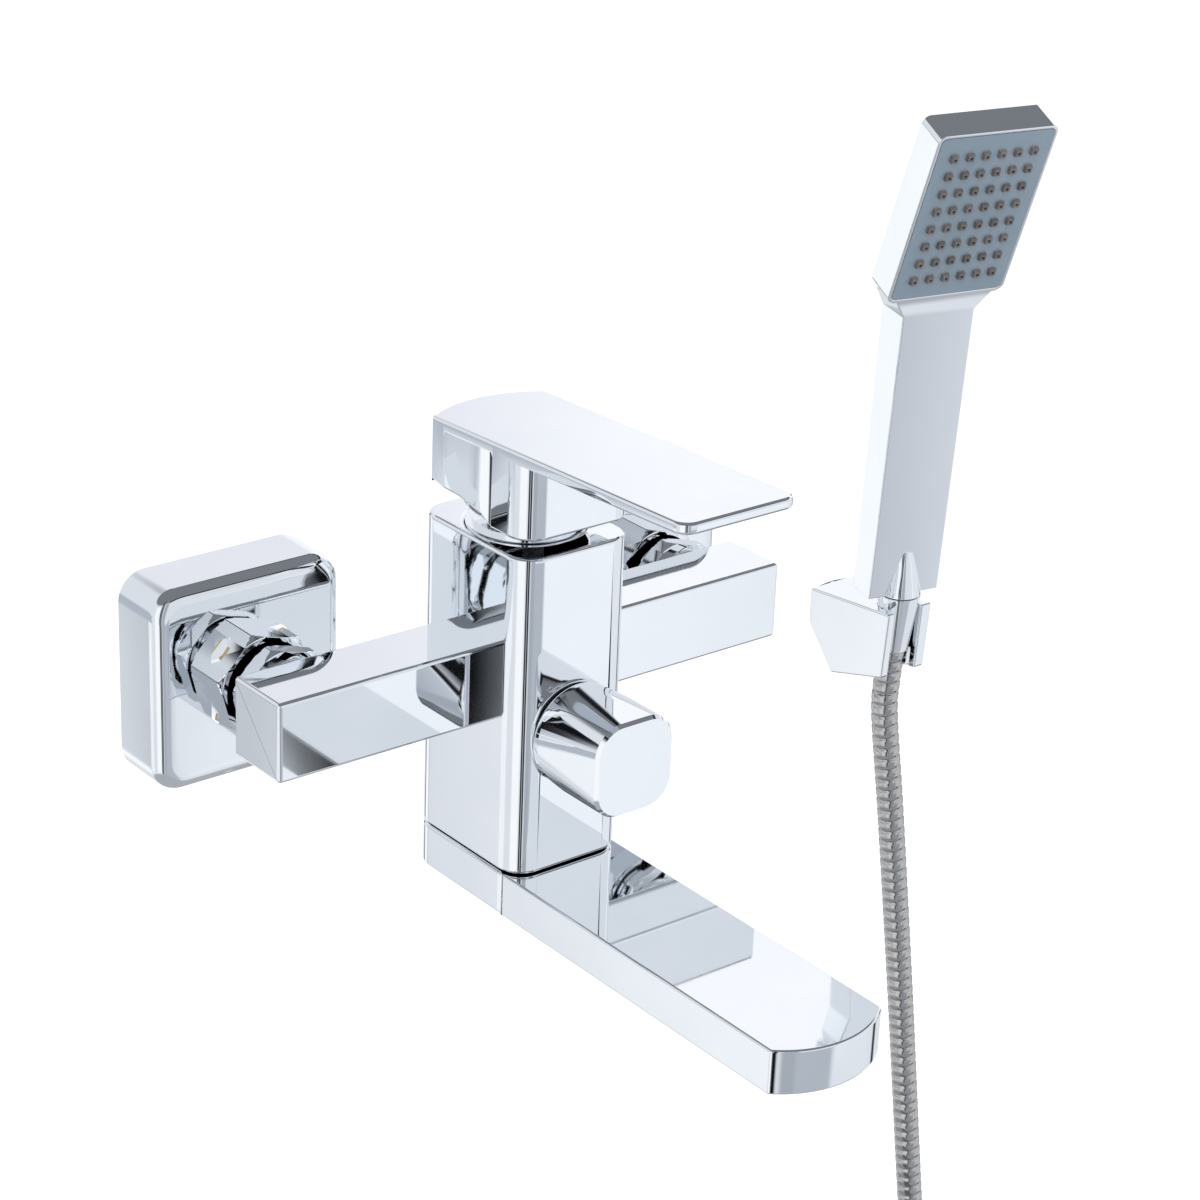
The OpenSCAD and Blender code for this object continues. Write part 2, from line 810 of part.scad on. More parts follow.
module aerator_housing() {
    color([0.8, 0.82, 0.84]) at_aerator() difference() {
        union() {
            rod(aer_r, spout_z0 - aer_drop, spout_z0);
            rod(aer_bore, spout_z0 - 0.5, aer_z1 - 1.5);
        }
        rod(aer_bore - 2.6, spout_z0 - aer_drop - 1, aer_z1);
    }
}

module aerator_insert() {
    pitch = 3.4;
    z0 = spout_z0 - aer_drop + 0.8;
    color([0.75, 0.76, 0.78]) at_aerator() difference() {
        rod(aer_bore - 2.6, z0, aer_z1 - 1.5);
        rod(aer_bore - 4, z0 + 2, aer_z1);
        for (i = [-3:3], j = [-3:3])
            if (norm([i, j]) < 3)
                translate([i * pitch, j * pitch, z0 - 1])
                    cylinder(r = 1.1, h = 5, $fn = 6);
    }
}

module aerator_washer() {
    color([0.1, 0.1, 0.1]) at_aerator() difference() {
        rod(aer_bore - 0.2, aer_z1 - 1.5, aer_z1);
        rod(aer_bore - 4, aer_z1 - 2, aer_z1 + 1);
    }
}

module outlet_nipple() {
    color([0.82, 0.82, 0.8]) translate([outlet_x, -outlet_y, 0]) difference() {
        union() {
            rod(5.5, outlet_z0, outlet_z0 + 8);
            rod(pipe_r, outlet_z0 - outlet_len, outlet_z0);
        }
        rod(3.6, outlet_z0 - outlet_len - 1, outlet_z0 + 9);
    }
}

// ------------------------------------------------------------ bracket
brk_side = [
    [0, brk_top], [-40, brk_top + 4], [-38.2, brk_top - 20.6],
    [-13, brk_top - 28], [0, brk_top - 13]
];
plate_w = 11;
plate_h = 12;
plate_top = brk_top - 1;
plate_th = 2.5;
brk_hole_r = 2.1;
brk_screw_pitch = 6.5;

module bracket_profile() {
    translate([brk_x - brk_w / 2, 0, 0]) rotate([90, 0, 90])
        linear_extrude(brk_w) polygon(brk_side);
}

module bracket_holder() {
    color([0.84, 0.87, 0.9]) difference() {
        bracket_profile();
        // seat for the cone, open to the front by the hose slot
        at_cone() translate([0, 0, -cone_len])
            cylinder(r1 = cone_bot + rest_gap, r2 = cone_top + rest_gap,
                h = cone_len);
        at_cone() rod(cone_top + rest_gap, -0.01, 20);
        at_cone() rod(brk_slot / 2 - 0.1, -60, 0);
        at_cone() rod(brk_slot / 2 + 0.6, -60, -cone_len);
        at_cone() translate([-brk_slot / 2, -40, -60])
            cube([brk_slot, 40, 80]);
        // pocket over the wall plate
        translate([brk_x - plate_w / 2, -plate_th, plate_top - plate_h])
            cube([plate_w, plate_th + 1, plate_h]);
        // room for the screw heads
        for (s = [-1, 1]) translate([brk_x, 0, screw_z(s)])
            shaft(3.2, 0, plate_th + 1.8);
    }
}

function screw_z(s) = plate_top - plate_h / 2 + s * brk_screw_pitch / 2;

module bracket_plate() {
    color([0.7, 0.72, 0.75]) difference() {
        translate([brk_x - plate_w / 2, -plate_th, plate_top - plate_h])
            cube([plate_w, plate_th, plate_h]);
        for (s = [-1, 1]) translate([brk_x, 0, screw_z(s)])
            shaft(brk_hole_r, -1, plate_th + 1);
    }
}

// ------------------------------------------------------------ hand shower
// In the head's frame: z along the face, y out of its back
module at_head() {
    at_handset() translate([0, 0, handle_len]) rotate([head_tilt, 0, 0])
        children();
}
head_start = 7;
shell_wall = 1.6;

module handle_solid() {
    at_handset() translate([-handle_w / 2, 0, 0]) rotate([90, 0, 90])
        linear_extrude(handle_w) polygon([
            [0, 0], [handle_t0, 0], [handle_t1, handle_len],
            [0, handle_len]]);
}

module head_solid() {
    at_head() translate([0, 0, head_start + head_l / 2]) rotate([-90, 0, 0])
        linear_extrude(head_t) rounded(head_w, head_l, 3);
}

// Where a point of the head's side view lies in the handle's side view
function head_side(y, z) = [
    y * cos(head_tilt) - z * sin(head_tilt),
    y * sin(head_tilt) + z * cos(head_tilt) + handle_len
];

// Neck that widens from the handle to the head
module neck_solid() {
    half = handle_w / 2;
    wide = head_w / 2 - 3.5;
    flare = head_start + 0.5;
    at_handset() intersection() {
        translate([-head_w, 0, 0]) rotate([90, 0, 90])
            linear_extrude(2 * head_w) polygon([
                [0, handle_len], [handle_t1, handle_len],
                head_side(head_t, head_start + 1),
                head_side(0, head_start + 1)]);
        translate([0, head_w, 0]) rotate([90, 0, 0])
            linear_extrude(2 * head_w) polygon([
                [half, handle_len], [wide, handle_len + flare],
                [wide, handle_len + 20], [-wide, handle_len + 20],
                [-wide, handle_len + flare], [-half, handle_len]]);
    }
}

module handset_shell() {
    color([0.86, 0.88, 0.9]) difference() {
        union() {
            handle_solid();
            neck_solid();
            head_solid();
            // round boss for the hose at the handle's lower end
            at_cone() translate([0, 0, 0])
                cylinder(r1 = cone_top, r2 = 3, h = 16);
        }
        // face plate's seat and the water room behind it
        at_head() translate([0, -1, head_start + head_l / 2])
            rotate([-90, 0, 0]) linear_extrude(plate_t + 1)
                rounded(head_w - 2 * rim, head_l - 2 * rim, 2);
        at_head() translate([0, 0, head_start + head_l / 2])
            rotate([-90, 0, 0]) linear_extrude(head_t - shell_wall)
                rounded(head_w - 2 * rim - 3, head_l - 2 * rim - 3, 2);
        // water way up the handle, and the tail's thread
        at_handset() translate([0, 5.2, 0]) rod(3.4, tail_up - 0.5, handle_len);
        at_head() translate([-4, 1.2, -3]) cube([8, 8, head_start + 8]);
        at_cone() rod(tail_r, -1, tail_up);
    }
}

module handset_face() {
    color([0.62, 0.68, 0.76]) at_head() difference() {
        translate([0, 0, head_start + head_l / 2]) rotate([-90, 0, 0])
            linear_extrude(plate_t)
                rounded(head_w - 2 * rim, head_l - 2 * rim, 2);
        for (i = [0:nozzle_cols - 1], j = [0:nozzle_rows - 1])
            translate(nozzle_at(i, j) + [-nozzle / 2, -1, -nozzle / 2])
                cube([nozzle, plate_t + 2, nozzle]);
    }
}

function nozzle_at(i, j) = [
    (i - (nozzle_cols - 1) / 2) * nozzle_px, 0,
    head_start + head_l / 2 + (j - (nozzle_rows - 1) / 2) * nozzle_pz
];

module nozzle_mat() {
    color([0.42, 0.42, 0.42]) at_head() {
        translate([0, plate_t, head_start + head_l / 2]) rotate([-90, 0, 0])
            linear_extrude(1.2) rounded(head_w - 2 * rim - 4,
                head_l - 2 * rim - 4, 2);
        for (i = [0:nozzle_cols - 1], j = [0:nozzle_rows - 1])
            translate(nozzle_at(i, j) + [-nozzle / 2, -nozzle_out, -nozzle / 2])
                cube([nozzle, nozzle_out + plate_t + 0.5, nozzle]);
    }
}

module handset_tail() {
    color([0.78, 0.62, 0.3]) at_cone() difference() {
        rod(tail_r, -9, tail_up);
        rod(2.8, -10, tail_up + 1);
    }
}

module hose_washer() {
    color([0.1, 0.1, 0.1]) at_cone() difference() {
        rod(tail_r - 0.1, -10.5, -9);
        rod(2.8, -11, -8);
    }
}

module hose_cone_nut() {
    color([0.75, 0.77, 0.8]) at_cone() difference() {
        translate([0, 0, -cone_len])
            cylinder(r1 = cone_bot, r2 = cone_top, h = cone_len - 0.2);
        rod(tail_r, -10.5, 1);
        rod(3, -cone_len - 1, 0);
    }
}

// ------------------------------------------------------------ hose
// A point on the cone's axis, z above the handle's lower end
function cone_point(z) =
    let (y = hs_axis_y * cos(hs_lean) - z * sin(hs_lean),
        up = hs_axis_y * sin(hs_lean) + z * cos(hs_lean))
    hs_at + [-y * sin(hs_yaw), y * cos(hs_yaw), up];

module hose_run() {
    points = concat([cone_point(-cone_len - 0.3)], run_points,
        [coil_point(0) - 0.35 * coil_way]);
    path = [for (i = [0:len(points) - 2], t = [0:0.2:0.99])
        spline(points, i, t)];
    color([0.66, 0.65, 0.63])
        tube(concat(path, [points[len(points) - 1]]), hose_r);
}

coil_way = [sin(run_slope), 0, -cos(run_slope)];
function coil_point(turn) = coil_at + [
    coil_r * cos(run_slope - 360 * turn), -coil_pitch * turn,
    coil_r * sin(run_slope - 360 * turn)];
module hose_coil() {
    steps = 48;
    path = concat([for (i = [0:steps * coil_turns]) coil_point(i / steps)],
        [end_at]);
    color([0.62, 0.61, 0.6]) tube(path, hose_r);
}

module coil_tie() {
    strands = coil_turns * coil_pitch;
    inner_y = strands - coil_pitch + hose_d + 1.2;
    mid = coil_at + [-coil_r, -strands / 2, 0];
    color([0.9, 0.9, 0.9]) translate(mid) difference() {
        linear_extrude(6, center = true)
            rounded(hose_d + 4.4, inner_y + 3, 3);
        linear_extrude(8, center = true)
            rounded(hose_d + 1.4, inner_y, 2);
    }
}

end_at = coil_point(coil_turns) + coil_tail * coil_way;
module at_hose_end() {
    translate(end_at) rotate([0, 180 - run_slope, 0]) children();
}

module hose_end_ring() {
    color([0.75, 0.77, 0.8]) at_hose_end() difference() {
        rod(6.4, 0, 9);
        rod(3, -1, 10);
    }
}

module hose_end_nut() {
    color([0.75, 0.77, 0.8]) at_hose_end() difference() {
        translate([0, 0, 4])
            cylinder(r = end_flats / 2 * hex_k, h = 13, $fn = 6);
        rod(6.5, 3, 10);
        rod(pipe_r + rest_gap, 9.4, 18);
    }
}

mixer_body();
cover_left();
cover_right();
union_left();
union_right();
swivel_nut_left();
swivel_nut_right();
inlet_tail_left();
inlet_tail_right();
union_washers();
cartridge_seal();
cartridge_housing();
fixed_disc();
moving_disc();
disc_carrier();
turret();
stem_pin();
lever_stem();
cartridge_nut();
lever();
lever_screw();
lever_plug();
diverter_housing();
diverter_rotor();
diverter_collar();
diverter_knob();
knob_screw();
spout_hub();
spout_arm();
spout_rings();
spout_screw();
aerator_housing();
aerator_insert();
aerator_washer();
outlet_nipple();
bracket_plate();
bracket_holder();
handset_shell();
handset_face();
nozzle_mat();
handset_tail();
hose_washer();
hose_cone_nut();
hose_run();
hose_coil();
coil_tie();
hose_end_nut();
hose_end_ring();
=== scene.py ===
"""Wall mounted bath mixer with its hand shower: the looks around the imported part.

Metres, in the part's own frame: X along the wall, Y into the wall, Z up.
"""

from __future__ import annotations

import json
import logging
import math
from dataclasses import dataclass, field
from enum import Enum

import bmesh
import bpy
from mathutils import Matrix, Vector

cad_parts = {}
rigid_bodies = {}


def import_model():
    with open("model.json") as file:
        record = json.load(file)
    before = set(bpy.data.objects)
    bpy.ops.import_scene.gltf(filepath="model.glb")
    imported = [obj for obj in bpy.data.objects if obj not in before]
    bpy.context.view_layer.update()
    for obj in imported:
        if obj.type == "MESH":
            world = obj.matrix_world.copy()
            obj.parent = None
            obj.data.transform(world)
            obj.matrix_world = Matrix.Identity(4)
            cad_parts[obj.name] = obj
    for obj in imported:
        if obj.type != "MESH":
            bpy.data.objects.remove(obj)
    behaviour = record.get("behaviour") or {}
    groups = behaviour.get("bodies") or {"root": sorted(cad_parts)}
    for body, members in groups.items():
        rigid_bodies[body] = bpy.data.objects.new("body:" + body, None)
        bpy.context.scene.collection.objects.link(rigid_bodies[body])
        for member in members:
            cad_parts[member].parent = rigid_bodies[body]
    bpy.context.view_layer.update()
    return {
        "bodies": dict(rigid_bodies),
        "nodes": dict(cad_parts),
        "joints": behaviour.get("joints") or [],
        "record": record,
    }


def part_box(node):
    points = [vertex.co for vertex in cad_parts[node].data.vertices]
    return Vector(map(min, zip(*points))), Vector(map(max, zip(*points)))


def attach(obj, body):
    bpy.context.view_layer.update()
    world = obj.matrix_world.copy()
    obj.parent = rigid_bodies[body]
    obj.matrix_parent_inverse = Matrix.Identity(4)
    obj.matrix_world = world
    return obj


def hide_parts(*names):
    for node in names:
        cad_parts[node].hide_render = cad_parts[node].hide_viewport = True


LOG = logging.getLogger("mixer")
MM = 0.001
GRAIN_LOW, GRAIN_HIGH = 0.3, 0.7  # where a noise counts as its low and its high end
SHARP_FROM = 27.0  # edges that turn more, in degrees, are not smoothed over
ROOM_BESIDE = 1.5  # widths of a rounding that must be free beside its edge
ROUND_FROM = 28.0  # edges that turn more, in degrees, are rounded
ROUND_STEPS = 4  # segments across a rounding
WELD_WITHIN = 2e-6  # metres between two vertices that are one
FLAT_WITHIN = 0.6  # faces that turn less, in degrees, are one face
Colour = tuple[float, float, float]


class Body(str, Enum):
    """The bodies of the part that pieces ride on."""

    FIXTURE = "fixture"
    LEVER = "lever_arm"
    DIVERTER = "diverter"
    SPOUT = "spout"
    HANDSET = "handset"


class Slot(str, Enum):
    """Material slots of the part's record."""

    CHROME = "chrome"
    NOZZLES = "nozzles"
    HOSE = "hose"
    TIE = "tie"


# ---------------------------------------------------------------- finishes
class NodeFinish:
    """A procedural material, built once from its own values."""

    def __init__(self, name: str) -> None:
        """Start an empty material.

        Args:
            name: the material's name.
        """
        self.material = bpy.data.materials.new(name)
        self.material.use_nodes = True
        self.tree = self.material.node_tree
        self.shader = self.tree.nodes["Principled BSDF"]
        self.coords = self.tree.nodes.new("ShaderNodeTexCoord")

    def noise(self, scale: float, detail: float = 3.0,
              stretch: tuple[float, float, float] = (1, 1, 1)) -> bpy.types.Node:
        """Add a noise texture in object space.

        Args:
            scale: grains per metre.
            detail: octaves of the noise.
            stretch: scale along each axis.

        Returns:
            The noise node.
        """
        mapping = self.tree.nodes.new("ShaderNodeMapping")
        mapping.inputs["Scale"].default_value = stretch
        grain = self.tree.nodes.new("ShaderNodeTexNoise")
        grain.inputs["Scale"].default_value = scale
        grain.inputs["Detail"].default_value = detail
        self.tree.links.new(self.coords.outputs["Object"], mapping.inputs["Vector"])
        self.tree.links.new(mapping.outputs["Vector"], grain.inputs["Vector"])
        return grain

    def tint(self, grain: bpy.types.Node, low: Colour, high: Colour) -> None:
        """Let the base colour drift between two colours with a noise."""
        ramp = self.tree.nodes.new("ShaderNodeValToRGB")
        ramp.color_ramp.elements[0].position = GRAIN_LOW
        ramp.color_ramp.elements[0].color = (*low, 1)
        ramp.color_ramp.elements[1].position = GRAIN_HIGH
        ramp.color_ramp.elements[1].color = (*high, 1)
        self.tree.links.new(grain.outputs["Fac"], ramp.inputs["Fac"])
        self.tree.links.new(ramp.outputs["Color"], self.shader.inputs["Base Color"])

    def roughen(self, grain: bpy.types.Node, low: float, high: float) -> None:
        """Let the roughness drift between two values with a noise."""
        span = self.tree.nodes.new("ShaderNodeMapRange")
        span.inputs["From Min"].default_value = GRAIN_LOW
        span.inputs["From Max"].default_value = GRAIN_HIGH
        span.inputs["To Min"].default_value = low
        span.inputs["To Max"].default_value = high
        self.tree.links.new(grain.outputs["Fac"], span.inputs["Value"])
        self.tree.links.new(span.outputs["Result"], self.shader.inputs["Roughness"])

    def bump(self, grain: bpy.types.Node, height: float, strength: float) -> None:
        """Raise a noise as fine relief.

        Args:
            grain: the noise node.
            height: relief in metres.
            strength: share of the relief, 0 to 1.
        """
        relief = self.tree.nodes.new("ShaderNodeBump")
        relief.inputs["Strength"].default_value = strength
        relief.inputs["Distance"].default_value = height
        self.tree.links.new(grain.outputs["Fac"], relief.inputs["Height"])
        self.tree.links.new(relief.outputs["Normal"], self.shader.inputs["Normal"])


@dataclass(frozen=True)
class MetalFinish:
    """A plated, turned or bare metal."""

    name: str
    low: Colour
    high: Colour
    rough_low: float
    rough_high: float
    grain: float = 90.0
    stretch: tuple[float, float, float] = (1, 1, 1)
    relief: float = 0.0

    def build(self) -> bpy.types.Material:
        """Make the material from the finish's values."""
        made = NodeFinish(self.name)
        made.shader.inputs["Metallic"].default_value = 1.0
        cloud = made.noise(self.grain, 3.0, self.stretch)
        made.tint(cloud, self.low, self.high)
        made.roughen(cloud, self.rough_low, self.rough_high)
        if self.relief > 0:
            made.bump(made.noise(self.grain * 6, 2.0, self.stretch), self.relief, 0.5)
        return made.material


@dataclass(frozen=True)
class MouldedFinish:
    """A plastic, rubber or ceramic surface."""

    name: str
    low: Colour
    high: Colour
    rough_low: float
    rough_high: float
    grain: float = 400.0
    relief: float = 0.00002
    metallic: float = 0.0
    coat: float = 0.0

    def build(self) -> bpy.types.Material:
        """Make the material from the finish's values."""
        made = NodeFinish(self.name)
        made.shader.inputs["Metallic"].default_value = self.metallic
        made.shader.inputs["Coat Weight"].default_value = self.coat
        made.shader.inputs["Coat Roughness"].default_value = 0.06
        cloud = made.noise(self.grain / 6)
        made.tint(cloud, self.low, self.high)
        made.roughen(cloud, self.rough_low, self.rough_high)
        made.bump(made.noise(self.grain * 4), self.relief, 0.4)
        return made.material


@dataclass
class FinishRack:
    """Every finish of the mixer, by the part's material slot."""

    # near-black finish of the hose's grooves: painted shade in the hollows between the
    # strip's turns, not a darker steel
    groove_shade: bpy.types.Material = field(init=False)
    by_slot: dict[str, bpy.types.Material] = field(default_factory=dict)

    def build(self) -> None:
        """Make all the materials."""
        finishes = {
            "chrome": MetalFinish("chrome_plate", (0.90, 0.925, 0.95),
                                  (0.93, 0.95, 0.97), 0.022, 0.045, 40.0),
            "brass": MetalFinish("machined_brass", (0.62, 0.46, 0.20),
                                 (0.78, 0.60, 0.30), 0.18, 0.34, 300.0, (1, 6, 1), 1e-5),
            "steel": MetalFinish("bare_steel", (0.50, 0.51, 0.53),
                                 (0.62, 0.63, 0.65), 0.22, 0.38, 300.0, (1, 1, 8), 1e-5),
            "hose": MetalFinish("wound_steel", (0.47, 0.46, 0.445),
                                (0.62, 0.61, 0.59), 0.11, 0.19, 500.0, (1, 1, 5), 6e-6),
            "rubber": MouldedFinish("black_rubber", (0.012, 0.012, 0.013),
                                    (0.03, 0.03, 0.03), 0.5, 0.7),
            "ceramic": MouldedFinish("lapped_ceramic", (0.84, 0.84, 0.82),
                                     (0.92, 0.92, 0.90), 0.12, 0.2),
            "white_plastic": MouldedFinish("white_plastic", (0.78, 0.78, 0.75),
                                           (0.86, 0.86, 0.83), 0.4, 0.5),
            "blue_plastic": MouldedFinish("blue_plastic", (0.10, 0.2, 0.42),
                                          (0.14, 0.26, 0.5), 0.4, 0.5),
            "dark_plastic": MouldedFinish("dark_plastic", (0.015, 0.016, 0.018),
                                          (0.035, 0.036, 0.04), 0.3, 0.45),
            "plug": MouldedFinish("red_plug", (0.5, 0.03, 0.02),
                                  (0.62, 0.05, 0.04), 0.25, 0.35),
            "insert": MouldedFinish("grey_insert", (0.42, 0.43, 0.45),
                                    (0.52, 0.53, 0.55), 0.3, 0.42),
            "face": MouldedFinish("spray_face", (0.17, 0.225, 0.275),
                                  (0.19, 0.245, 0.295), 0.22, 0.3, 300.0, 4e-6, 0.25, 0.4),
            "nozzles": MouldedFinish("nozzle_rubber", (0.075, 0.068, 0.065),
                                     (0.13, 0.118, 0.112), 0.38, 0.55, 900.0),
            "tie": MouldedFinish("tie_band", (0.72, 0.72, 0.72),
                                 (0.82, 0.82, 0.82), 0.45, 0.6),
        }
        for slot, finish in finishes.items():
            self.by_slot[slot] = finish.build()
        # painted shade: the hose's grooves, where the same steel lies in shadow, get a
        # near-black metal
        self.groove_shade = MetalFinish("hose_groove_shade", (0.05, 0.048, 0.045),
                                  (0.09, 0.085, 0.08), 0.35, 0.5, 500.0).build()

    def dress(self, piece: bpy.types.Object, slot: Slot) -> None:
        """Give a piece the one finish of its slot.

        Args:
            piece: the object to dress.
            slot: the record's material slot.
        """
        piece.data.materials.clear()
        piece.data.materials.append(self.by_slot[slot.value])

    def dress_nodes(self, frame: dict) -> None:
        """Dress every node that is carried over from the part."""
        slots = {s["node"]: s["material_slot"] for s in frame["record"]["subparts"]}
        for name, node in frame["nodes"].items():
            node.data.materials.clear()
            node.data.materials.append(self.by_slot[slots[name]])


# ---------------------------------------------------------------- mesh helpers
def new_piece(name: str, mesh: bmesh.types.BMesh) -> bpy.types.Object:
    """Turn a bmesh into an object in the scene.

    Args:
        name: the piece's name.
        mesh: the geometry, freed afterwards.

    Returns:
        The new object.
    """
    data = bpy.data.meshes.new(name)
    mesh.to_mesh(data)
    mesh.free()
    piece = bpy.data.objects.new(name, data)
    bpy.context.scene.collection.objects.link(piece)
    return piece


def softened(frame: dict, node: str, radius: float) -> bpy.types.Object:
    """Copy a node with its edges rounded, as casting and polishing leave them.

    Args:
        frame: the loaded frame.
        node: the node to copy.
        radius: edge radius in metres.

    Returns:
        The new piece, which stands for the node.
    """
    mesh = bmesh.new()
    mesh.from_mesh(frame["nodes"][node].data)
    bmesh.ops.remove_doubles(mesh, verts=mesh.verts, dist=WELD_WITHIN)
    bmesh.ops.dissolve_limit(mesh, angle_limit=math.radians(FLAT_WITHIN),
                             verts=mesh.verts, edges=mesh.edges)
    weigh_edges(mesh, radius)
    piece = new_piece(f"{node}_body", mesh)
    kept_normals = piece.data.attributes.get("custom_normal")
    if kept_normals:
        piece.data.attributes.remove(kept_normals)
    for face in piece.data.polygons:
        face.use_smooth = True
    rounding = piece.modifiers.new("edge_round", "BEVEL")
    rounding.width = radius
    rounding.segments = ROUND_STEPS
    rounding.limit_method = "WEIGHT"
    rounding.use_clamp_overlap = False
    rounding.miter_outer = "MITER_ARC"
    apply_modifiers(piece)
    flatten_faces(piece)
    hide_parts(node)
    return piece


def flatten_faces(piece: bpy.types.Object) -> None:
    """Let the wide faces of a rounded piece mirror as flat ones."""
    piece.data.set_sharp_from_angle(angle=math.radians(SHARP_FROM))
    flatten = piece.modifiers.new("flat_faces", "WEIGHTED_NORMAL")
    flatten.mode = "FACE_AREA"
    flatten.weight = 100
    flatten.keep_sharp = True
    apply_modifiers(piece)


def weigh_edges(mesh: bmesh.types.BMesh, radius: float) -> None:
    """Mark the outer edges that have room for a rounding; the others stay sharp.

    Args:
        mesh: the mesh to mark.
        radius: the rounding in metres.
    """
    least_turn = math.radians(ROUND_FROM)
    mark = mesh.edges.layers.float.new("bevel_weight_edge")
    mesh.normal_update()
    chosen = set()
    for edge in mesh.edges:
        if len(edge.link_faces) != 2 or not edge.is_convex:
            continue
        if edge.calc_face_angle(0.0) < least_turn:
            continue
        start, end = (vert.co for vert in edge.verts)
        along = (end - start).normalized()
        room = min(max(((v.co - start) - along * (v.co - start).dot(along)).length
                       for v in face.verts) for face in edge.link_faces)
        if room > ROOM_BESIDE * radius:
            chosen.add(edge)
    for edge in chosen:
        crowded = False
        for vert in edge.verts:
            others = [e for e in vert.link_edges if e is not edge
                      and len(e.link_faces) == 2
                      and e.calc_face_angle(0.0) >= least_turn]
            crowded |= any(e not in chosen for e in others)
        edge[mark] = 0.0 if crowded and edge.calc_length() < ROOM_BESIDE * radius else 1.0
    for edge in mesh.edges:
        turned = edge.calc_face_angle(0.0) if len(edge.link_faces) == 2 else math.pi
        edge.smooth = edge[mark] > 0 or turned < least_turn


def apply_modifiers(piece: bpy.types.Object) -> None:
    """Bake a piece's modifiers into its mesh."""
    graph = bpy.context.evaluated_depsgraph_get()
    made = bpy.data.meshes.new_from_object(piece.evaluated_get(graph))
    old = piece.data
    piece.modifiers.clear()
    piece.data = made
    bpy.data.meshes.remove(old)


def catmull(points: list[Vector], steps: int) -> list[Vector]:
    """Smooth curve through points.

    Args:
        points: the points to pass.
        steps: pieces between two points.

    Returns:
        The points of the smooth curve.
    """
    last = len(points) - 1
    path = []
    for i in range(last):
        a, b = points[max(i - 1, 0)], points[i]
        c, d = points[i + 1], points[min(i + 2, last)]
        for k in range(steps):
            t = k / steps
            path.append(0.5 * (2 * b + (c - a) * t + (2 * a - 5 * b + 4 * c - d) * t * t
                               + (3 * b - a - 3 * c + d) * t ** 3))
    path.append(points[last].copy())
    return path


def evenly(path: list[Vector], stations: list[float]) -> list[tuple[Vector, Vector]]:
    """Points and directions of a path at given distances along it.

    Args:
        path: the points of the path.
        stations: distances from its start, rising.

    Returns:
        A point and a unit direction for each distance.
    """
    found = []
    i, walked = 0, 0.0
    for s in stations:
        while i < len(path) - 2 and walked + (path[i + 1] - path[i]).length < s:
            walked += (path[i + 1] - path[i]).length
            i += 1
        step = path[i + 1] - path[i]
        t = min(1.0, (s - walked) / step.length)
        before = path[i] - path[i - 1] if i > 0 else step
        after = path[i + 2] - path[i + 1] if i < len(path) - 2 else step
        start = (before.normalized() + step.normalized()).normalized()
        end = (after.normalized() + step.normalized()).normalized()
        found.append((path[i] + step * t, start.lerp(end, t).normalized()))
    return found


# ---------------------------------------------------------------- studio
@dataclass(frozen=True)
class ProductCamera:
    """Camera that looks down on the mixer from its front left."""

    azimuth: float = -39.2
    elevation: float = 23.5
    roll: float = 2.3
    target: tuple[float, float, float] = (10.5 * MM, -80 * MM, 25.1 * MM)
    distance: float = 0.9655
    field_of_view: float = 21.009
    sensor_width: float = 36.0

    def place(self) -> None:
        """Make the camera and set it as the scene's own."""
        a, e = math.radians(self.azimuth), math.radians(self.elevation)
        r = math.radians(self.roll)
        back = Vector((math.sin(a) * math.cos(e), -math.cos(a) * math.cos(e), math.sin(e)))
        right = Vector((math.cos(a), math.sin(a), 0))
        up = back.cross(right)
        right_rolled = right * math.cos(r) + up * math.sin(r)
        up_rolled = up * math.cos(r) - right * math.sin(r)
        data = bpy.data.cameras.new("product_camera")
        data.sensor_width = self.sensor_width
        data.lens = self.sensor_width / 2 / math.tan(math.radians(self.field_of_view / 2))
        data.clip_start, data.clip_end = 0.01, 60.0
        camera = bpy.data.objects.new("product_camera", data)
        place = Matrix((right_rolled, up_rolled, back)).transposed().to_4x4()
        place.translation = Vector(self.target) + back * self.distance
        camera.matrix_world = place
        bpy.context.scene.collection.objects.link(camera)
        bpy.context.scene.camera = camera


@dataclass(frozen=True)
class Panel:
    """A soft panel of the surround, seen only in reflections."""

    azimuth: float
    elevation: float
    width: float
    height: float
    tone: Colour
    edge: float = 4.0

    def share(self, azimuth: float, elevation: float) -> float:
        """How much of the panel shows in a direction, 0 to 1."""
        off = abs((azimuth - self.azimuth + 180) % 360 - 180)
        across = (self.width / 2 - off) / self.edge
        along = (self.height / 2 - abs(elevation - self.elevation)) / self.edge
        t = max(0.0, min(1.0, min(across, along) + 0.5))
        return t * t * (3 - 2 * t)


